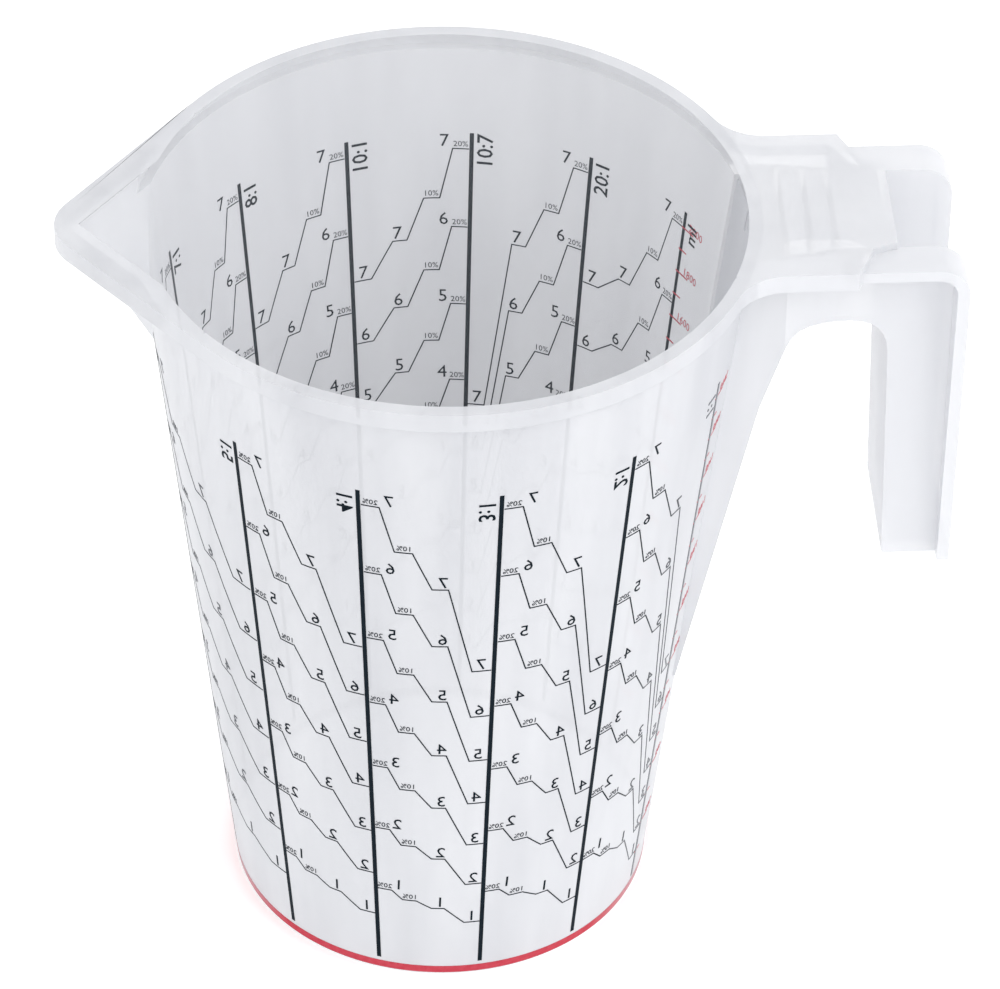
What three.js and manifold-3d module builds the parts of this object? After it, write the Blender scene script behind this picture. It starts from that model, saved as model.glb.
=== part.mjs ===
import * as THREE from 'three';
import { mergeVertices } from 'three/addons/utils/BufferGeometryUtils.js';
import { ConvexGeometry } from 'three/addons/geometries/ConvexGeometry.js';
import Module from 'manifold-3d';

// Two litre mixing jug, moulded in one piece. Millimetres, +Z up, the base on
// z = 0, the handle on +X and the pouring spout on -X.

// Bowl of the jug
const HEIGHT = 205;
const BASE_RADIUS = 53.4;
const TOP_RADIUS = 75.2;
const WALL = 1.6;
const FLOOR = 2;
const BASE_CHAMFER = 0.4;
const INSIDE_FILLET = 3;
const ROUND_STEPS = 96;

// Rolled rim, a ledge outside the wall
const RIM_RADIUS = 77;
const RIM_DEPTH = 5;

// Pouring spout: the outline is the rim joined to a small circle by two tangents
const SPOUT_REACH = 5.2;
const SPOUT_CENTRE = -(RIM_RADIUS + SPOUT_REACH);
const SPOUT_ROUND = 12.9;
const TROUGH_INSET = 3.9;
const SPOUT_FOOT = 35;
const SHEET = 1.8;

// Handle: a deck level with the rim, two side plates and a web between them
const DECK_HALF = 28;
const DECK_LENGTH = 21;
const DECK_END = RIM_RADIUS + DECK_LENGTH;
const DECK_FILLET = 14;
const PLATE_HALF = 17;
const PLATE_FLARE = 3;
const ARM_DEPTH = 23;
const WEB_TOP = DECK_END + 8.7;
const WEB_BOTTOM = WEB_TOP + 2.6;
const GRIP_DEPTH = 19.1;
const GRIP_OUTER = WEB_TOP + GRIP_DEPTH;
const GRIP_LENGTH = 98;
const GRIP_BOTTOM = HEIGHT - GRIP_LENGTH;
const GRIP_ROUND = 8;
const GUSSET_LENGTH = 135;
const GUSSET_FOOT = HEIGHT - GUSSET_LENGTH;

// Outward lips on the edges of the side plates
const LIP_DROP = 2;
const LIP_THICK = 3;
const LIP_HALF_TOP = 25.5;
const LIP_HALF_BOTTOM = 20.5;

// Ribs under the deck
const RIB = 1.5;
const RIB_DEPTH = 11.5;
const FIRST_RIB = RIM_RADIUS + 4.9;
const RIB_PITCH = 6.15;
const CROSS_RIBS = [FIRST_RIB, FIRST_RIB + RIB_PITCH, FIRST_RIB + 2 * RIB_PITCH];
const LONG_RIB_OFFSET = 5.9;

// Print on the outside of the wall
const INK_GAP = 0.05;
const INK = 0.15;
const BAR_WIDTH = 1.1;
const BAR_FOOT = 4.3;
const BAR_HEADROOM = 29.6;
const BAR_HEAD = HEIGHT - BAR_HEADROOM;
const BAND_FOOT = 0.6;
const BAND_HEAD = 3;
const BARS = [
  ['bar_1_to_1', -25.9],
  ['bar_2_to_1', -54.1],
  ['bar_3_to_1', -82.3],
  ['bar_4_to_1', -110.0],
  ['bar_5_to_1', -137.7],
  ['bar_6_to_1', -175.0],
  ['bar_7_to_1', -201.2],
  ['bar_8_to_1', -227.0],
  ['bar_10_to_1', -252.7],
  ['bar_10_to_7', -278.5],
  ['bar_20_to_1', -304.0],
  ['bar_millilitre', -329.9],
];

const wasm = await Module();
wasm.setup();

function solid(geometry) {
  const bare = geometry.index ? geometry.toNonIndexed() : geometry.clone();
  bare.deleteAttribute('normal');
  bare.deleteAttribute('uv');
  const merged = mergeVertices(bare, 1e-4);
  return new wasm.Manifold(new wasm.Mesh({
    numProp: 3,
    vertProperties: new Float32Array(merged.attributes.position.array),
    triVerts: new Uint32Array(merged.index.array),
  }));
}

function meshOf(body, name, material) {
  const data = body.getMesh();
  const geometry = new THREE.BufferGeometry();
  geometry.setAttribute('position', new THREE.BufferAttribute(data.vertProperties, 3));
  geometry.setIndex(new THREE.BufferAttribute(data.triVerts, 1));
  geometry.computeVertexNormals();
  const mesh = new THREE.Mesh(geometry, material);
  mesh.name = name;
  return mesh;
}

// A profile of [radius, height] pairs turned about the jug's axis
function turned(profile) {
  const points = profile.map(([r, z]) => new THREE.Vector2(r, z));
  const geometry = new THREE.LatheGeometry(points, ROUND_STEPS);
  geometry.rotateX(Math.PI / 2);
  return solid(geometry);
}

// A plan outline of [x, y] pairs raised from one height to another
function raised(outline, low, high) {
  const shape = new THREE.Shape(outline.map(([x, y]) => new THREE.Vector2(x, y)));
  const geometry = new THREE.ExtrudeGeometry(shape, { depth: high - low, bevelEnabled: false });
  geometry.translate(0, 0, low);
  return solid(geometry);
}

// A side outline of [x, z] pairs drawn out between two values of y
function drawnAcross(outline, near, far) {
  const shape = new THREE.Shape(outline.map(([x, z]) => new THREE.Vector2(x, z)));
  const geometry = new THREE.ExtrudeGeometry(shape, { depth: far - near, bevelEnabled: false });
  geometry.rotateX(Math.PI / 2);
  geometry.translate(0, far, 0);
  return solid(geometry);
}

function hull(points) {
  return solid(new ConvexGeometry(points.map(([x, y, z]) => new THREE.Vector3(x, y, z))));
}

function arc(x, y, radius, from, to, steps) {
  const points = [];
  for (let i = 0; i <= steps; i += 1) {
    const angle = THREE.MathUtils.degToRad(from + ((to - from) * i) / steps);
    points.push([x + radius * Math.cos(angle), y + radius * Math.sin(angle)]);
  }
  return points;
}

function mirrored(points) {
  const other = points.map(([x, y]) => [x, -y]).reverse();
  return points.concat(other);
}

const slope = (TOP_RADIUS - BASE_RADIUS) / HEIGHT;
const wallRadius = (z) => BASE_RADIUS + slope * z;
const innerRadius = (z) => wallRadius(z) - WALL;

// Bowl with its rim
const bowl = turned([
  [0, 0],
  [BASE_RADIUS - BASE_CHAMFER, 0],
  [wallRadius(BASE_CHAMFER), BASE_CHAMFER],
  [wallRadius(HEIGHT - RIM_DEPTH), HEIGHT - RIM_DEPTH],
  [RIM_RADIUS, HEIGHT - RIM_DEPTH],
  [RIM_RADIUS, HEIGHT],
  [0, HEIGHT],
]);
const hollow = turned([
  [0, FLOOR],
  [innerRadius(FLOOR) - INSIDE_FILLET, FLOOR],
  [innerRadius(FLOOR) - INSIDE_FILLET * 0.3, FLOOR + INSIDE_FILLET * 0.3],
  [innerRadius(FLOOR + INSIDE_FILLET), FLOOR + INSIDE_FILLET],
  [innerRadius(HEIGHT), HEIGHT],
  [innerRadius(HEIGHT), HEIGHT + 2],
  [0, HEIGHT + 2],
]);

// Spout: flat border with a skirt, and a trough shaped like a V under it
const spread = THREE.MathUtils.radToDeg(Math.acos((SPOUT_ROUND - RIM_RADIUS) / SPOUT_CENTRE));
function spoutOutline(inset) {
  const tip = arc(SPOUT_CENTRE, 0, SPOUT_ROUND - inset, 180 - spread, 180 + spread, 12);
  const start = arc(0, 0, RIM_RADIUS - inset, 180 - spread, 180 - spread, 1)[0];
  return [start, ...tip, [start[0], -start[1]]];
}
const border = raised(spoutOutline(0), HEIGHT - SHEET, HEIGHT);
const skirt = raised(spoutOutline(0), HEIGHT - RIM_DEPTH, HEIGHT)
  .subtract(raised(spoutOutline(SHEET), HEIGHT - RIM_DEPTH - 1, HEIGHT + 1));

// The trough's edges run parallel to the outline and meet in a sharp apex
const troughReach = innerRadius(HEIGHT) - TROUGH_INSET;
const spreadRad = THREE.MathUtils.degToRad(spread);
function trough(grow, top) {
  const reach = troughReach + grow;
  const apex = -reach / Math.cos(spreadRad);
  const mouth = innerRadius(HEIGHT) + grow;
  const run = Math.sqrt(mouth * mouth - reach * reach);
  const mouthX = -reach * Math.cos(spreadRad) - run * Math.sin(spreadRad);
  const mouthY = reach * Math.sin(spreadRad) - run * Math.cos(spreadRad);
  const footZ = HEIGHT - SPOUT_FOOT - grow;
  const back = -innerRadius(footZ) + 8;
  return hull([
    [apex, 0, top], [mouthX, mouthY, top], [mouthX, -mouthY, top],
    [back, mouthY, top], [back, -mouthY, top],
    [-innerRadius(footZ) - grow, 0, footZ], [back, 0, footZ],
  ]);
}
const keel = trough(SHEET, HEIGHT - 0.2);
const channel = trough(0, HEIGHT + 0.2);

// Side plates of the handle, cut from one side outline. They start inside the
// bowl, whose hollow is taken out of them later.
const plateRoot = innerRadius(0) - 2;
const archTop = HEIGHT - ARM_DEPTH;
const plateOutline = [
  [plateRoot, GUSSET_FOOT],
  [Math.sqrt(wallRadius(GUSSET_FOOT) ** 2 - PLATE_HALF ** 2) - 0.3, GUSSET_FOOT],
  [RIM_RADIUS - 0.7, archTop - 25],
  [RIM_RADIUS + 5, archTop - 7],
  [RIM_RADIUS + 8.3, archTop - 1.8],
  [RIM_RADIUS + 14, archTop - 0.2],
  [DECK_END, archTop],
  [WEB_TOP - 3.7, archTop - 1.2],
  [WEB_TOP - 0.5, archTop - 4.5],
  [WEB_TOP + 0.9, archTop - 10],
  [WEB_BOTTOM, GRIP_BOTTOM],
  [GRIP_OUTER, GRIP_BOTTOM],
  ...arc(GRIP_OUTER - GRIP_ROUND, HEIGHT - LIP_DROP - GRIP_ROUND, GRIP_ROUND, 0, 90, 6),
  [plateRoot, HEIGHT - LIP_DROP],
];
function plateBand(half) {
  return [
    [plateRoot, half + PLATE_FLARE], [CROSS_RIBS[0], half + PLATE_FLARE - 1],
    [CROSS_RIBS[2], half], [GRIP_OUTER + 1, half],
  ];
}
const plateSpan = DECK_HALF - 1;
const plates = drawnAcross(plateOutline, -plateSpan, plateSpan)
  .intersect(raised(mirrored(plateBand(PLATE_HALF)), 0, HEIGHT))
  .subtract(raised(mirrored(plateBand(PLATE_HALF - SHEET)), -1, HEIGHT + 1));

// Web on the finger side, closed at the bottom of the grip
const webHalf = PLATE_HALF - SHEET / 2;
const web = drawnAcross([
  [WEB_TOP, HEIGHT],
  [WEB_BOTTOM, GRIP_BOTTOM],
  [GRIP_OUTER, GRIP_BOTTOM],
  [GRIP_OUTER, GRIP_BOTTOM + SHEET],
  [WEB_BOTTOM + SHEET, GRIP_BOTTOM + SHEET],
  [WEB_TOP + SHEET, HEIGHT],
], -webHalf, webHalf);

// Lips along the top and down the outer edge of the side plates
const lipTop = HEIGHT - LIP_DROP;
const lipOutline = [
  [DECK_END - 3, lipTop],
  [DECK_END - 3, lipTop - LIP_THICK],
  ...arc(GRIP_OUTER - GRIP_ROUND, lipTop - GRIP_ROUND, GRIP_ROUND - LIP_THICK, 90, 0, 6),
  [GRIP_OUTER - LIP_THICK, GRIP_BOTTOM],
  [GRIP_OUTER, GRIP_BOTTOM],
  ...arc(GRIP_OUTER - GRIP_ROUND, lipTop - GRIP_ROUND, GRIP_ROUND, 0, 90, 6),
];
const taper = hull([
  [DECK_END - 4, LIP_HALF_BOTTOM, GRIP_BOTTOM - 1], [DECK_END - 4, -LIP_HALF_BOTTOM, GRIP_BOTTOM - 1],
  [GRIP_OUTER + 1, LIP_HALF_BOTTOM, GRIP_BOTTOM - 1], [GRIP_OUTER + 1, -LIP_HALF_BOTTOM, GRIP_BOTTOM - 1],
  [DECK_END - 4, LIP_HALF_TOP, HEIGHT + 1], [DECK_END - 4, -LIP_HALF_TOP, HEIGHT + 1],
  [GRIP_OUTER + 1, LIP_HALF_TOP, HEIGHT + 1], [GRIP_OUTER + 1, -LIP_HALF_TOP, HEIGHT + 1],
]);
const lips = drawnAcross(lipOutline, -plateSpan, plateSpan)
  .intersect(taper)
  .subtract(raised(mirrored(plateBand(PLATE_HALF - SHEET / 2)), -1, HEIGHT + 1));

// Deck level with the rim, with a skirt round its free edges
function deckOutline(inset) {
  const half = DECK_HALF - inset;
  const fillet = DECK_FILLET + inset;
  const rim = RIM_RADIUS - inset;
  const centreY = half + fillet;
  const centreX = Math.sqrt((rim + fillet) ** 2 - centreY ** 2);
  const start = THREE.MathUtils.radToDeg(Math.atan2(-centreY, -centreX));
  return mirrored([
    ...arc(centreX, centreY, fillet, start, -90, 6),
    [DECK_END - inset, half],
    [DECK_END + 4.5 - inset, PLATE_HALF + 1],
    [WEB_TOP + SHEET / 2, PLATE_HALF - SHEET / 2],
  ]);
}
const deck = raised(deckOutline(0), HEIGHT - SHEET, HEIGHT);
const deckSkirtArea = raised([
  [60, 40], [DECK_END + 6, 40], [DECK_END + 6, -40], [60, -40],
], HEIGHT - RIM_DEPTH, HEIGHT - 0.5);
const deckSkirt = raised(deckOutline(0), HEIGHT - RIM_DEPTH, HEIGHT - 0.5)
  .subtract(raised(deckOutline(SHEET), HEIGHT - RIM_DEPTH - 1, HEIGHT))
  .subtract(raised(mirrored(plateBand(PLATE_HALF - SHEET / 2)), HEIGHT - RIM_DEPTH - 1, HEIGHT))
  .intersect(deckSkirtArea);

// Ribs under the deck: three across, two along
const ribArea = raised(mirrored(plateBand(PLATE_HALF - SHEET / 2)), 0, HEIGHT);
let ribs = null;
for (const x of CROSS_RIBS) {
  const depth = x === CROSS_RIBS[0] ? RIB_DEPTH : RIB_DEPTH / 2;
  const rib = raised([
    [x - RIB / 2, -plateSpan], [x + RIB / 2, -plateSpan],
    [x + RIB / 2, plateSpan], [x - RIB / 2, plateSpan],
  ], HEIGHT - SHEET / 2 - depth, HEIGHT - SHEET / 2).intersect(ribArea);
  ribs = ribs ? ribs.add(rib) : rib;
}
for (const side of [-1, 1]) {
  const y = side * LONG_RIB_OFFSET;
  ribs = ribs.add(raised([
    [innerRadius(HEIGHT) - 2, y - RIB / 2], [CROSS_RIBS[0], y - RIB / 2],
    [CROSS_RIBS[0], y + RIB / 2], [innerRadius(HEIGHT) - 2, y + RIB / 2],
  ], HEIGHT - SHEET / 2 - RIB_DEPTH, HEIGHT - SHEET / 2));
}

const jugBody = bowl
  .add(border).add(skirt).add(keel)
  .add(plates).add(web).add(lips)
  .add(deck).add(deckSkirt).add(ribs)
  .subtract(hollow)
  .subtract(channel);

// Red band of print round the foot
const inkIn = (z) => wallRadius(z) + INK_GAP;
const inkOut = (z) => inkIn(z) + INK;
const band = turned([
  [inkOut(BAND_FOOT), BAND_FOOT],
  [inkOut(BAND_HEAD), BAND_HEAD],
  [inkIn(BAND_HEAD), BAND_HEAD],
  [inkIn(BAND_FOOT), BAND_FOOT],
  [inkOut(BAND_FOOT), BAND_FOOT],
]);

// One upright bar of print for each mixing ratio
function bar(angle) {
  const turn = THREE.MathUtils.degToRad(angle);
  const place = (r, s, z) => [
    r * Math.cos(turn) - s * Math.sin(turn),
    r * Math.sin(turn) + s * Math.cos(turn),
    z,
  ];
  const half = BAR_WIDTH / 2;
  const points = [];
  for (const z of [BAR_FOOT, BAR_HEAD]) {
    for (const s of [-half, half]) {
      points.push(place(inkIn(z), s, z), place(inkOut(z), s, z));
    }
  }
  return hull(points);
}

const plastic = new THREE.MeshStandardMaterial({ color: 0xe6e7ec, roughness: 0.35, metalness: 0 });
const redInk = new THREE.MeshStandardMaterial({ color: 0xc84655, roughness: 0.45, metalness: 0 });
const blackInk = new THREE.MeshStandardMaterial({ color: 0x192d37, roughness: 0.45, metalness: 0 });

const group = new THREE.Group();
group.name = 'mixing_jug';
group.add(meshOf(jugBody, 'jug', plastic));
group.add(meshOf(band, 'red_base_band', redInk));
for (const [name, angle] of BARS) {
  group.add(meshOf(bar(angle), name, blackInk.clone()));
}

export default group;
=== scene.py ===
# %% [markdown]
# # A two litre mixing jug
# The jug is one moulding of milky plastic. Everything else that shows is ink on its outer wall.
# Sizes are in millimetres here and are turned into metres as each mesh is made.

# %% Setup
import math
import bmesh
import bpy
from mathutils import Matrix, Vector


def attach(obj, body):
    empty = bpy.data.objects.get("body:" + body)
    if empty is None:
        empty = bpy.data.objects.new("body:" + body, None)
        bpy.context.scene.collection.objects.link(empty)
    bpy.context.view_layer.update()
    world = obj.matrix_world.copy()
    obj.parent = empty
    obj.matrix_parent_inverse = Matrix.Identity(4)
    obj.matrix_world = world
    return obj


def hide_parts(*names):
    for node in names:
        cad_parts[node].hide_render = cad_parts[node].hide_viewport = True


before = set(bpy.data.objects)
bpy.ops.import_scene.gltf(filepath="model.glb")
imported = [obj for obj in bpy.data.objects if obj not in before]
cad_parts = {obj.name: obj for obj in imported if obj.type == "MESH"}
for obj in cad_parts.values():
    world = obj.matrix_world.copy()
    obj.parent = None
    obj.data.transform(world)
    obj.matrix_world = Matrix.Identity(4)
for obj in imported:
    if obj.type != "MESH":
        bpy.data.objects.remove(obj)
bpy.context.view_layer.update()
scene = bpy.context.scene
MM = 0.001

# %% [markdown]
# The wall is a cone. Its radius at any height gives the place of everything printed on it.

# %% Wall
HEIGHT = 205.0
BASE = 53.4
TOP = 75.2
WALL = 1.6
FLOOR = 2.0


def wall_radius(z):
    return BASE + (TOP - BASE) * z / HEIGHT


def inner_radius(z):
    return wall_radius(z) - WALL


print("inner radius at the top", inner_radius(HEIGHT))

# %% [markdown]
# Small makers of solids: a profile spun about the axis, an outline raised, an outline drawn
# across, and a hull. Each returns an object whose mesh is in metres.

# %% Makers of solids
def made(name, bm):
    bmesh.ops.recalc_face_normals(bm, faces=bm.faces)
    bmesh.ops.scale(bm, vec=(MM, MM, MM), verts=bm.verts)
    mesh = bpy.data.meshes.new(name)
    bm.to_mesh(mesh)
    bm.free()
    obj = bpy.data.objects.new(name, mesh)
    scene.collection.objects.link(obj)
    return obj


def spun(name, profile, steps=160):
    bm = bmesh.new()
    verts = [bm.verts.new((r, 0, z)) for r, z in profile]
    edges = [bm.edges.new(pair) for pair in zip(verts, verts[1:])]
    bmesh.ops.spin(bm, geom=verts + edges, cent=(0, 0, 0), axis=(0, 0, 1), dvec=(0, 0, 0),
                   angle=2 * math.pi, steps=steps, use_merge=True, use_duplicate=False)
    bmesh.ops.remove_doubles(bm, verts=bm.verts, dist=0.001)
    return made(name, bm)


def swept(name, points, along):
    bm = bmesh.new()
    face = bm.faces.new([bm.verts.new(p) for p in points])
    grown = bmesh.ops.extrude_face_region(bm, geom=[face])
    moved = [v for v in grown["geom"] if isinstance(v, bmesh.types.BMVert)]
    bmesh.ops.translate(bm, vec=along, verts=moved)
    return made(name, bm)


def raised(name, outline, low, high):
    return swept(name, [(x, y, low) for x, y in outline], (0, 0, high - low))


def across(name, outline, near, far):
    return swept(name, [(x, near, z) for x, z in outline], (0, far - near, 0))


def hull(name, points):
    bm = bmesh.new()
    verts = [bm.verts.new(p) for p in points]
    bmesh.ops.convex_hull(bm, input=verts)
    return made(name, bm)


def arc(x, y, radius, start, end, steps):
    turns = [math.radians(start + (end - start) * i / steps) for i in range(steps + 1)]
    return [(x + radius * math.cos(t), y + radius * math.sin(t)) for t in turns]


def mirrored(points):
    return points + [(x, -y) for x, y in reversed(points)]


def combine(base, tool, how):
    cut = base.modifiers.new("cut", "BOOLEAN")
    cut.operation = how
    cut.solver = "EXACT"
    cut.object = tool
    bpy.context.view_layer.update()
    graph = bpy.context.evaluated_depsgraph_get()
    mesh = bpy.data.meshes.new_from_object(base.evaluated_get(graph))
    base.modifiers.clear()
    base.data = mesh
    bpy.data.objects.remove(tool)
    return base


print("makers ready")

# %% [markdown]
# The bowl is a solid cone with a rim ledge. It is hollowed only at the end, so that what is
# joined to its outside never shows inside.

# %% Bowl
RIM = 77.0
RIM_DEPTH = 5.0
jug = spun("jug_moulding", [
    (0, 0), (BASE - 0.4, 0), (wall_radius(0.4), 0.4),
    (wall_radius(60), 60), (wall_radius(120), 120), (wall_radius(170), 170),
    (wall_radius(HEIGHT - RIM_DEPTH), HEIGHT - RIM_DEPTH),
    (RIM, HEIGHT - RIM_DEPTH), (RIM, HEIGHT), (0, HEIGHT),
])
hollow = spun("hollow", [
    (0, FLOOR), (inner_radius(FLOOR) - 3, FLOOR), (inner_radius(FLOOR) - 0.9, FLOOR + 0.9),
    (inner_radius(FLOOR + 3), FLOOR + 3), (inner_radius(60), 60), (inner_radius(120), 120),
    (inner_radius(HEIGHT), HEIGHT), (inner_radius(HEIGHT), HEIGHT + 2), (0, HEIGHT + 2),
])
print("bowl faces", len(jug.data.polygons))

# %% [markdown]
# The spout's flat border is the rim joined by two tangents to a small circle. A skirt hangs from
# its edge, and the trough is a V whose keel runs down to the wall.

# %% Spout
SHEET = 1.8
TIP = -82.2
TIP_ROUND = 12.9
spread = math.acos((TIP_ROUND - RIM) / TIP)
spread_deg = math.degrees(spread)


def spout_outline(inset):
    tip = arc(TIP, 0, TIP_ROUND - inset, 180 - spread_deg, 180 + spread_deg, 24)
    x = -(RIM - inset) * math.cos(spread)
    y = (RIM - inset) * math.sin(spread)
    return [(x, y)] + tip + [(x, -y)]


def trough(name, grow, top):
    reach = 69.7 + grow
    mouth = inner_radius(HEIGHT) + grow
    run = math.sqrt(mouth ** 2 - reach ** 2)
    x = -reach * math.cos(spread) - run * math.sin(spread)
    y = reach * math.sin(spread) - run * math.cos(spread)
    foot = HEIGHT - 35 - grow
    back = -inner_radius(foot) + 8
    return hull(name, [
        (-reach / math.cos(spread), 0, top), (x, y, top), (x, -y, top),
        (back, y, top), (back, -y, top),
        (-inner_radius(foot) - grow, 0, foot), (back, 0, foot),
    ])


border = raised("border", spout_outline(0), HEIGHT - SHEET, HEIGHT)
skirt = raised("skirt", spout_outline(0), HEIGHT - RIM_DEPTH, HEIGHT)
combine(skirt, raised("skirt_hole", spout_outline(SHEET), HEIGHT - 6, HEIGHT + 1), "DIFFERENCE")
for part in (border, skirt, trough("keel", SHEET, HEIGHT - 0.2)):
    combine(jug, part, "UNION")
print("with spout", len(jug.data.polygons))

# %% [markdown]
# Two side plates carry the handle. Seen from the side each is an arm with a finger arch, a grip
# that stops in the air, and a gusset running down the wall. They flare a little near the bowl.

# %% Side plates
ROOT = 49.8
PLATE = 17.0
GRIP_BOTTOM = 107.0
GRIP_OUTER = 125.8
LIP_TOP = HEIGHT - 2
corner = GRIP_OUTER - 8


def band(half):
    return [(ROOT, half + 3), (81.9, half + 2), (94.1, half), (GRIP_OUTER + 1, half)]


plates = across("plates", [
    (ROOT, 70), (math.sqrt(wall_radius(70) ** 2 - PLATE ** 2) - 0.3, 70),
    (wall_radius(150) + 7, 157), (82, 175), (83.2, 177.8), (85.3, 180.2), (88, 181.3),
    (91, 181.8), (98, 182), (101, 181.6), (103, 180.8), (105, 179.4), (106.2, 177.5),
    (107.1, 175.2), (107.6, 172), (109.3, GRIP_BOTTOM), (GRIP_OUTER, GRIP_BOTTOM),
] + arc(corner, LIP_TOP - 8, 8, 0, 90, 12) + [(ROOT, LIP_TOP)], -27, 27)
combine(plates, raised("outside", mirrored(band(PLATE)), 0, HEIGHT), "INTERSECT")
combine(plates, raised("between", mirrored(band(PLATE - SHEET)), -1, HEIGHT + 1), "DIFFERENCE")
combine(jug, plates, "UNION")
print("with side plates", len(jug.data.polygons))

# %% [markdown]
# The web closes the grip on the finger side and at the bottom. The outer side stays open. Lips
# stand outwards from the side plates and narrow towards the bottom.

# %% Web and lips
half_web = PLATE - SHEET / 2
web = across("web", [
    (106.7, HEIGHT), (109.3, GRIP_BOTTOM), (GRIP_OUTER, GRIP_BOTTOM),
    (GRIP_OUTER, GRIP_BOTTOM + SHEET), (109.3 + SHEET, GRIP_BOTTOM + SHEET),
    (106.7 + SHEET, HEIGHT),
], -half_web, half_web)
combine(jug, web, "UNION")
lips = across("lips", [(95, LIP_TOP), (95, LIP_TOP - 3)]
              + arc(corner, LIP_TOP - 8, 5, 90, 0, 12)
              + [(GRIP_OUTER - 3, GRIP_BOTTOM), (GRIP_OUTER, GRIP_BOTTOM)]
              + arc(corner, LIP_TOP - 8, 8, 0, 90, 12), -27, 27)
taper = hull("taper", [(x, y * w, z) for x in (94, 127) for y in (-1, 1)
                       for w, z in ((20.5, 106), (25.5, 206))])
combine(lips, taper, "INTERSECT")
combine(lips, raised("gap", mirrored(band(half_web)), -1, HEIGHT + 1), "DIFFERENCE")
combine(jug, lips, "UNION")
print("with grip", len(jug.data.polygons))

# %% [markdown]
# The deck joins the rim to the grip with a fillet on each side, a skirt on its free edges, and
# stiffening ribs under it, three across and two along. They show through the plastic as lines.

# %% Deck and ribs
def deck_outline(inset):
    half = 28 - inset
    fillet = 14 + inset
    cy = half + fillet
    cx = math.sqrt((RIM - inset + fillet) ** 2 - cy ** 2)
    start = math.degrees(math.atan2(-cy, -cx))
    return mirrored(arc(cx, cy, fillet, start, -90, 12) + [
        (98 - inset, half), (102.5 - inset, PLATE + 1), (107.6, half_web)])


deck = raised("deck", deck_outline(0), HEIGHT - SHEET, HEIGHT)
deck_skirt = raised("deck_skirt", deck_outline(0), HEIGHT - RIM_DEPTH, HEIGHT - 0.5)
for hole in (raised("inner", deck_outline(SHEET), HEIGHT - 6, HEIGHT),
             raised("middle", mirrored(band(half_web)), HEIGHT - 6, HEIGHT)):
    combine(deck_skirt, hole, "DIFFERENCE")
combine(jug, deck, "UNION")
combine(jug, deck_skirt, "UNION")
for x, depth in ((81.9, 11.5), (88.1, 5.75), (94.1, 5.75)):
    reach = half_web + (2 if x < 85 else 1 if x < 90 else 0)
    rib = raised("rib", [(x - 0.75, -reach), (x + 0.75, -reach), (x + 0.75, reach), (x - 0.75, reach)],
                 HEIGHT - 0.9 - depth, HEIGHT - 0.9)
    combine(jug, rib, "UNION")
for y in (-5.9, 5.9):
    rib = raised("rib", [(71, y - 0.75), (81.9, y - 0.75), (81.9, y + 0.75), (71, y + 0.75)],
                 HEIGHT - 12.4, HEIGHT - 0.9)
    combine(jug, rib, "UNION")
combine(jug, hollow, "DIFFERENCE")
combine(jug, trough("channel", 0, HEIGHT + 0.2), "DIFFERENCE")
print("whole moulding", len(jug.data.polygons))

# %% [markdown]
# A tiny bevel rounds every moulded edge, so that rim, lips and ribs catch the light.
# Slivers that joining leaves are merged first, and what hangs loose after that is taken away.

# %% Soft edges
tidy = bmesh.new()
tidy.from_mesh(jug.data)
bmesh.ops.remove_doubles(tidy, verts=tidy.verts, dist=0.00002)
bmesh.ops.dissolve_degenerate(tidy, edges=tidy.edges, dist=0.00001)
loose = [f for f in tidy.faces if all(e.is_boundary for e in f.edges)]
bmesh.ops.delete(tidy, geom=loose, context="FACES")
wires = [e for e in tidy.edges if not e.link_faces]
bmesh.ops.delete(tidy, geom=wires, context="EDGES")
open_edges = sum(e.is_boundary or e.is_wire for e in tidy.edges)
tidy.to_mesh(jug.data)
tidy.free()
jug.data.shade_smooth()
jug.data.set_sharp_from_angle(angle=math.radians(30))
bevel = jug.modifiers.new("soft_edges", "BEVEL")
bevel.width = 0.00045
bevel.segments = 3
bevel.limit_method = "ANGLE"
bevel.angle_limit = math.radians(40)
bevel.harden_normals = True
print("open edges", open_edges)

# %% [markdown]
# The plastic's grain: slow streaks down the wall where the melt flowed, and a fine satin unevenness.

# %% Grain shared by the plastics
grain = bpy.data.node_groups.new("Moulded_Grain", "ShaderNodeTree")
for socket in ("Tone", "Sheen", "Relief"):
    grain.interface.new_socket(socket, in_out="OUTPUT", socket_type="NodeSocketFloat")
out = grain.nodes.new("NodeGroupOutput")
coords = grain.nodes.new("ShaderNodeTexCoord")
stretch = grain.nodes.new("ShaderNodeMapping")
stretch.inputs["Scale"].default_value = (60, 60, 7)
streaks = grain.nodes.new("ShaderNodeTexNoise")
streaks.inputs["Scale"].default_value = 1.0
streaks.inputs["Detail"].default_value = 3
fine = grain.nodes.new("ShaderNodeTexNoise")
fine.inputs["Scale"].default_value = 900
sheen = grain.nodes.new("ShaderNodeMapRange")
sheen.inputs["To Min"].default_value = 0.24
sheen.inputs["To Max"].default_value = 0.42
link = grain.links.new
link(coords.outputs["Object"], stretch.inputs["Vector"])
link(stretch.outputs["Vector"], streaks.inputs["Vector"])
link(coords.outputs["Object"], fine.inputs["Vector"])
link(streaks.outputs["Fac"], out.inputs["Tone"])
link(streaks.outputs["Fac"], sheen.inputs["Value"])
link(sheen.outputs["Result"], out.inputs["Sheen"])
link(fine.outputs["Fac"], out.inputs["Relief"])
print("grain sockets", len(grain.interface.items_tree))
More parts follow.
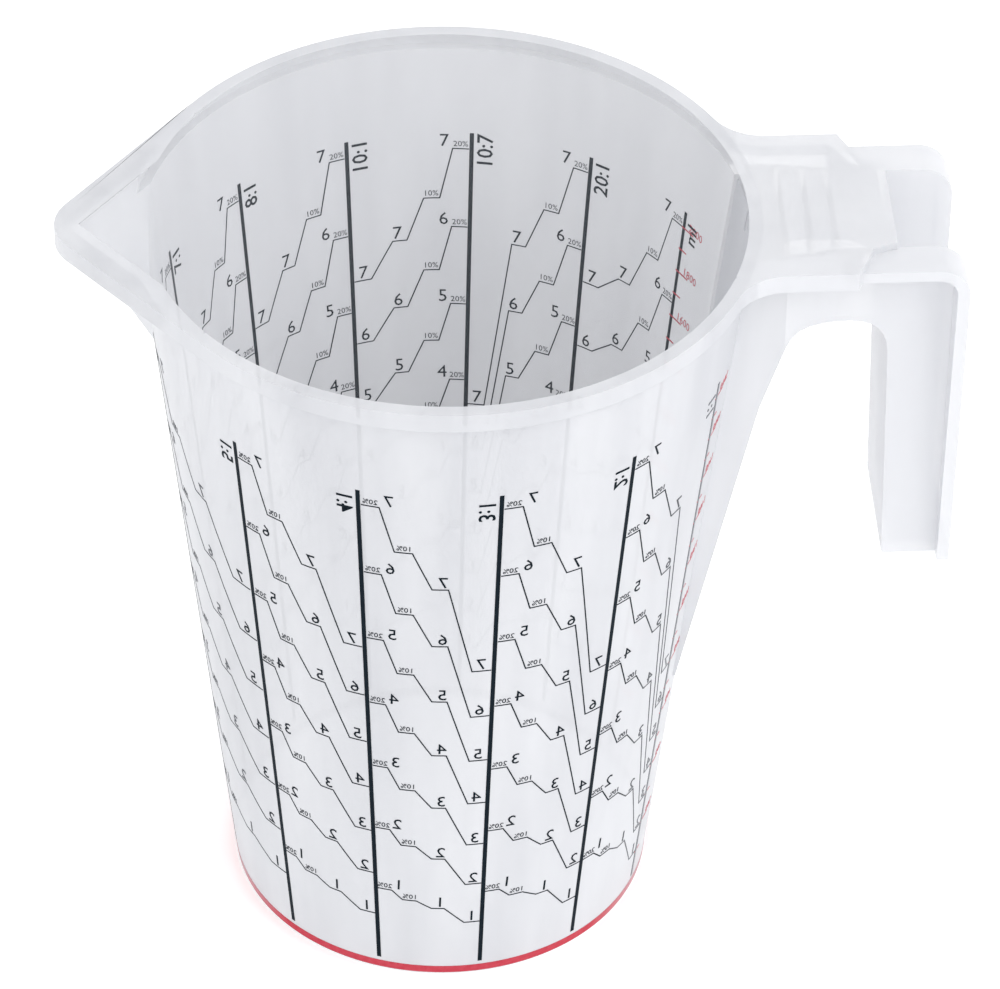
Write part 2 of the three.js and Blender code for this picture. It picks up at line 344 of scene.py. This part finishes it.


# %% [markdown]
# The same plastic is seen in three ways. The outer skin is milky and hides what is inside. The inner skin
# is clearer, so the print shows through from within. The handle is thin and lets its ribs show; its
# lighter tone is painted light, for the light that comes through the thin plastic.

# %% Plastics
def plastic(name, dark, light, alpha):
    mat = bpy.data.materials.new(name)
    mat.use_nodes = True
    tree = mat.node_tree
    shader = tree.nodes["Principled BSDF"]
    group = tree.nodes.new("ShaderNodeGroup")
    group.node_tree = grain
    tone = tree.nodes.new("ShaderNodeMix")
    tone.data_type = "RGBA"
    tone.inputs["A"].default_value = (*dark, 1)
    tone.inputs["B"].default_value = (*light, 1)
    bump = tree.nodes.new("ShaderNodeBump")
    bump.inputs["Strength"].default_value = 0.15
    bump.inputs["Distance"].default_value = 0.0001
    tree.links.new(group.outputs["Tone"], tone.inputs["Factor"])
    tree.links.new(tone.outputs["Result"], shader.inputs["Base Color"])
    tree.links.new(group.outputs["Sheen"], shader.inputs["Roughness"])
    tree.links.new(group.outputs["Relief"], bump.inputs["Height"])
    tree.links.new(bump.outputs["Normal"], shader.inputs["Normal"])
    shader.inputs["Alpha"].default_value = alpha
    shader.inputs["IOR"].default_value = 1.49
    return mat


outer_skin = plastic("plastic_outer", (0.58, 0.59, 0.63), (0.82, 0.83, 0.86), 0.82)
inner_skin = plastic("plastic_inner", (0.78, 0.80, 0.86), (0.88, 0.89, 0.93), 0.1)
# The handle's copy is painted lighter: painted light coming through the thin plastic.
handle_skin_painted_bright = plastic("plastic_handle_painted_bright", (0.77, 0.78, 0.82), (0.88, 0.89, 0.92), 0.7)
for mat in (outer_skin, inner_skin, handle_skin_painted_bright):
    jug.data.materials.append(mat)
counts = [0, 0, 0]
for face in jug.data.polygons:
    c = face.center / MM
    radius = math.hypot(c.x, c.y)
    inward = (face.normal.x * c.x + face.normal.y * c.y) / max(radius, 1)
    inside = radius < inner_radius(c.z) + 0.4 and c.z > FLOOR - 0.5
    in_trough = c.x < -60 and face.normal.z > 0.05 and c.z < HEIGHT - 0.3
    if (inside and (inward < -0.2 or face.normal.z > 0.2)) or in_trough:
        face.material_index = 1
    # Faces of the handle take the lighter copy, with its painted light.
    elif c.x > 60 and radius > wall_radius(c.z) + 0.3 and abs(c.y) < 30 and c.x > 72:
        face.material_index = 2
    counts[face.material_index] += 1
print("faces outer, inner, handle", counts)
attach(jug, "root")
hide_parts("jug")

# %% [markdown]
# Ink is laid flat first, as distances along the wall and heights, and then wrapped on the cone.
# It goes through the outer skin a little, so that it shows from inside too. Where the wall turns away from
# the eye, the print is painted paler, towards the plastic's grey: a painted reflection for the glare at
# grazing angles.

# %% Ink
INK_LOW = -0.03
INK_HIGH = 0.07
LONGEST = 2.0


def on_cone(angle, s, z, w):
    r = wall_radius(z) + w
    t = math.radians(angle) + s / r
    return (r * math.cos(t) * MM, r * math.sin(t) * MM, z * MM)


def ink_material(name, colour, thin):
    mat = bpy.data.materials.new(name)
    mat.use_nodes = True
    tree = mat.node_tree
    shader = tree.nodes["Principled BSDF"]
    place = tree.nodes.new("ShaderNodeTexCoord")
    spots = tree.nodes.new("ShaderNodeTexNoise")
    spots.inputs["Scale"].default_value = 700
    tone = tree.nodes.new("ShaderNodeMix")
    tone.data_type = "RGBA"
    tone.inputs["A"].default_value = (*colour, 1)
    tone.inputs["B"].default_value = (*thin, 1)
    sheen = tree.nodes.new("ShaderNodeMapRange")
    sheen.inputs["To Min"].default_value = 0.3
    sheen.inputs["To Max"].default_value = 0.5
    # Painted reflection: the print turns paler, towards the plastic's grey, where the wall turns away from
    # the eye.
    side_on = tree.nodes.new("ShaderNodeLayerWeight")
    side_on.inputs["Blend"].default_value = 0.5
    glare_ramp = tree.nodes.new("ShaderNodeMapRange")
    glare_ramp.inputs["From Min"].default_value = 0.6
    glare_ramp.inputs["From Max"].default_value = 0.92
    glare_ramp.inputs["To Max"].default_value = 0.6
    glare_mix = tree.nodes.new("ShaderNodeMix")
    glare_mix.data_type = "RGBA"
    glare_mix.inputs["B"].default_value = (0.64, 0.65, 0.69, 1)
    shader.inputs["Specular IOR Level"].default_value = 0.04
    tree.links.new(place.outputs["Object"], spots.inputs["Vector"])
    tree.links.new(spots.outputs["Fac"], tone.inputs["Factor"])
    tree.links.new(spots.outputs["Fac"], sheen.inputs["Value"])
    tree.links.new(tone.outputs["Result"], glare_mix.inputs["A"])
    tree.links.new(side_on.outputs["Facing"], glare_ramp.inputs["Value"])
    tree.links.new(glare_ramp.outputs["Result"], glare_mix.inputs["Factor"])
    tree.links.new(glare_mix.outputs["Result"], shader.inputs["Base Color"])
    tree.links.new(sheen.outputs["Result"], shader.inputs["Roughness"])
    return mat


black = ink_material("ink_black", (0.003, 0.007, 0.012), (0.006, 0.014, 0.022))
red = ink_material("ink_red", (0.5, 0.035, 0.06), (0.62, 0.09, 0.12))


class Print:
    """Flat shapes gathered and wrapped on the cone as one mesh."""

    def __init__(self):
        self.verts = []
        self.faces = []

    def prism(self, angle, outline):
        start, n = len(self.verts), len(outline)
        for w in (INK_LOW, INK_HIGH):
            self.verts += [on_cone(angle, s, z, w) for s, z in outline]
        self.faces.append([start + i for i in reversed(range(n))])
        self.faces.append([start + n + i for i in range(n)])
        self.faces += [[start + i, start + (i + 1) % n, start + n + (i + 1) % n, start + n + i]
                       for i in range(n)]

    def line(self, angle, corners, width):
        half = width / 2
        points = [corners[0]]
        for a, b in zip(corners, corners[1:]):
            parts = math.ceil(abs(b[0] - a[0]) / LONGEST)
            points += [(a[0] + (b[0] - a[0]) * i / parts, a[1] + (b[1] - a[1]) * i / parts)
                       for i in range(1, parts + 1)]
        sides = ([], [])
        for i, p in enumerate(points):
            before = Vector(p) - Vector(points[i - 1]) if i else Vector(points[1]) - Vector(p)
            after = Vector(points[i + 1]) - Vector(p) if i + 1 < len(points) else before
            along = (before.normalized() + after.normalized()).normalized()
            grow = half / max(along.dot(after.normalized()), 0.5)
            normal = Vector((-along.y, along.x)) * grow
            sides[0].append(Vector(p) + normal)
            sides[1].append(Vector(p) - normal)
        for i in range(len(points) - 1):
            quad = [sides[1][i], sides[1][i + 1], sides[0][i + 1], sides[0][i]]
            self.prism(angle, [tuple(q) for q in quad])

    def glyphs(self, angle, text, s, z, size, turned=False):
        verts, faces = letters(text, 0.01 if turned else 0.0)
        start = len(self.verts)
        for x, y, w in verts:
            x, y = (-y, x) if turned else (x, y)
            self.verts.append(on_cone(angle, s - x * size, z + y * size, INK_HIGH if w > 0 else INK_LOW))
        self.faces += [[start + i for i in reversed(face)] for face in faces]

    def build(self, name, mat):
        mesh = bpy.data.meshes.new(name)
        mesh.from_pydata(self.verts, [], self.faces)
        mesh.validate()
        mesh.materials.append(mat)
        obj = bpy.data.objects.new(name, mesh)
        scene.collection.objects.link(obj)
        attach(obj, "root")
        return obj


kept_letters = {}


def letters(text, bold):
    key = (text, bold)
    if key not in kept_letters:
        curve = bpy.data.curves.new("letters", "FONT")
        curve.body = text
        curve.align_x = "CENTER"
        curve.extrude = 0.01
        curve.offset = bold
        curve.resolution_u = 2
        obj = bpy.data.objects.new("letters", curve)
        scene.collection.objects.link(obj)
        bpy.context.view_layer.update()
        mesh = obj.to_mesh()
        verts = [tuple(v.co) for v in mesh.vertices]
        kept_letters[key] = (verts, [list(p.vertices) for p in mesh.polygons])
        obj.to_mesh_clear()
        bpy.data.objects.remove(obj)
    return kept_letters[key]


print("digit faces", len(letters("7", 0)[1]))

# %% [markdown]
# Twelve upright bars divide the wall, eleven for mixing ratios and one for millilitres.

# %% Bars and band
BARS = [
    ("bar_1_to_1", -25.9, 1, "1:1"), ("bar_2_to_1", -54.1, 2, "2:1"),
    ("bar_3_to_1", -82.3, 3, "3:1"), ("bar_4_to_1", -110.0, 4, "4:1"),
    ("bar_5_to_1", -137.7, 5, "5:1"), ("bar_6_to_1", -175.0, 6, "6:1"),
    ("bar_7_to_1", -201.2, 7, "7:1"), ("bar_8_to_1", -227.0, 8, "8:1"),
    ("bar_10_to_1", -252.7, 10, "10:1"), ("bar_10_to_7", -278.5, 10 / 7, "10:7"),
    ("bar_20_to_1", -304.0, 20, "20:1"), ("bar_millilitre", -329.9, None, "ml"),
]
for name, angle, share, label in BARS:
    bar = Print()
    for low in range(10):
        a = 4.3 + 17.11 * low
        bar.prism(angle, [(-0.55, a), (0.55, a), (0.55, a + 17.11), (-0.55, a + 17.11)])
    shown = bar.build("ink_" + name, black)
    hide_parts(name)
red_band = spun("ink_base_band", [
    (wall_radius(0.6) + INK_HIGH, 0.6), (wall_radius(3) + INK_HIGH, 3),
    (wall_radius(3) + 0.02, 3), (wall_radius(0.6) + 0.02, 0.6),
    (wall_radius(0.6) + INK_HIGH, 0.6),
])
red_band.data.shade_smooth()
red_band.data.set_sharp_from_angle(angle=math.radians(30))
red_band.data.materials.append(red)
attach(red_band, "root")
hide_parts("red_base_band")
print("bars", len(BARS))


# %% [markdown]
# Between two bars each level has four treads: paint alone, paint with hardener, and these with
# ten and with twenty per cent of thinner. The heights follow from the cone's volume.

# %% Stepped lines
def volume(z):
    low, high = inner_radius(FLOOR), inner_radius(z)
    return math.pi / 3 * (z - FLOOR) * (low * low + low * high + high * high)


def height_of(wanted):
    low, high = FLOOR, HEIGHT
    for _ in range(40):
        middle = (low + high) / 2
        low, high = (middle, high) if volume(middle) < wanted else (low, middle)
    return low


steps = Print()
numerals = Print()
for k, (name, angle, share, label) in enumerate(BARS[:-1]):
    gap = math.radians(angle - BARS[k + 1][1])
    for n in range(1, 8):
        full = volume(8.07 + 23.23 * n)
        levels = [full * 0.8 * share / (share + 1), full * 0.8, full * 0.8 / 0.9, full]
        z = [height_of(v) for v in levels]
        spans = [(0.02, 0.17), (0.36, 0.48), (0.62, 0.75), (0.85, 0.98)]
        path = []
        for height, span in zip(z, spans):
            path += [(-t * gap * wall_radius(height), height) for t in span]
        steps.line(angle, path, 0.32)
        for i, t, text, size in ((0, 0.1, str(n), 5.2), (1, 0.4, str(n), 5.2),
                                 (2, 0.68, "10%", 2.3), (3, 0.785, str(n), 5.2), (3, 0.915, "20%", 2.3)):
            numerals.glyphs(angle, text, -t * gap * wall_radius(z[i]), z[i] + 0.7, size)
for name, angle, share, label in BARS:
    numerals.glyphs(angle, label, -5.4, 170.4, 5.8, turned=True)
steps.build("ink_stepped_lines", black)
numerals.build("ink_numerals", black)
print("stepped line faces", len(steps.faces), "numeral faces", len(numerals.faces))

# %% [markdown]
# The print reads from inside, so it is laid on mirrored. A red millilitre scale crosses the bar on each side of the handle.

# %% Millilitre scale
scale = Print()
top_volume = volume(8.07 + 23.23 * 7)
for angle, side in ((BARS[-1][1], -1), (BARS[0][1], 1)):
    for step in range(1, 21):
        z = height_of(top_volume * step / 20)
        reach = 4.4 if step % 2 == 0 else 2.4
        scale.line(angle, [(side * -0.9, z), (side * reach, z)], 0.4)
        if step % 2 == 0:
            scale.glyphs(angle, str(step * 100), side * 5.2, z + 0.4, 3.2)
scale.build("ink_millilitre_scale", red)
print("scale faces", len(scale.faces))

# %% [markdown]
# The jug stands on a pale floor in a plain bright studio.

# %% Studio
bm = bmesh.new()
bmesh.ops.create_grid(bm, x_segments=1, y_segments=1, size=4000)
floor = made("studio_floor", bm)
floor_mat = bpy.data.materials.new("studio_white")
floor_mat.use_nodes = True
paper = floor_mat.node_tree.nodes["Principled BSDF"]
paper.inputs["Base Color"].default_value = (0.93, 0.93, 0.93, 1)
paper.inputs["Roughness"].default_value = 1.0
paper.inputs["Emission Color"].default_value = (1, 1, 1, 1)
paper.inputs["Emission Strength"].default_value = 0.25
floor_mat.cycles.emission_sampling = "NONE"
floor.data.materials.append(floor_mat)

world = bpy.data.worlds.new("studio_world")
scene.world = world
world.use_nodes = True
world.node_tree.nodes["Background"].inputs["Color"].default_value = (1, 1, 1, 1)
world.node_tree.nodes["Background"].inputs["Strength"].default_value = 0.95
for name, place, size, power in (("key", (0.8, -0.6, 1.0), 0.7, 4.5), ("fill", (-0.9, -0.3, 0.9), 0.8, 1)):
    lamp = bpy.data.lights.new(name, "AREA")
    lamp.size = size
    lamp.energy = power
    light = bpy.data.objects.new(name, lamp)
    light.location = place
    light.rotation_mode = "QUATERNION"
    light.rotation_quaternion = (Vector((0, 0, 0.1)) - Vector(place)).to_track_quat("-Z", "Y")
    scene.collection.objects.link(light)
print("lights ready")

# %% [markdown]
# The camera looks down at about forty degrees from far off, a little left of the handle's side.

# %% Camera
turn, tilt, roll = math.radians(-4.113), math.radians(40.217), math.radians(0.981)
forward = Vector((-math.sin(turn) * math.cos(tilt), math.cos(turn) * math.cos(tilt), -math.sin(tilt)))
right = Vector((math.cos(turn), math.sin(turn), 0))
up = right.cross(forward)
across_view = right * math.cos(roll) + up * math.sin(roll)
up_view = up * math.cos(roll) - right * math.sin(roll)
lens = bpy.data.cameras.new("camera")
lens.sensor_width = 36
lens.lens = 6627.3 / 1000 * 36
lens.clip_end = 20
camera = bpy.data.objects.new("camera", lens)
camera.matrix_world = Matrix((
    (across_view.x, up_view.x, -forward.x, 0),
    (across_view.y, up_view.y, -forward.y, 0),
    (across_view.z, up_view.z, -forward.z, 0),
    (0, 0, 0, 1),
))
camera.location = Vector((14.362, 1.736, 113.82)) * MM - forward * 1.6701
scene.collection.objects.link(camera)
scene.camera = camera
scene.render.resolution_x = 1000
scene.render.resolution_y = 989
scene.view_settings.view_transform = "Standard"
scene.cycles.max_bounces = 4
scene.cycles.diffuse_bounces = 3
scene.cycles.transparent_max_bounces = 8
scene.cycles.use_adaptive_sampling = True
scene.cycles.adaptive_threshold = 0.04
print("camera at", tuple(camera.location))
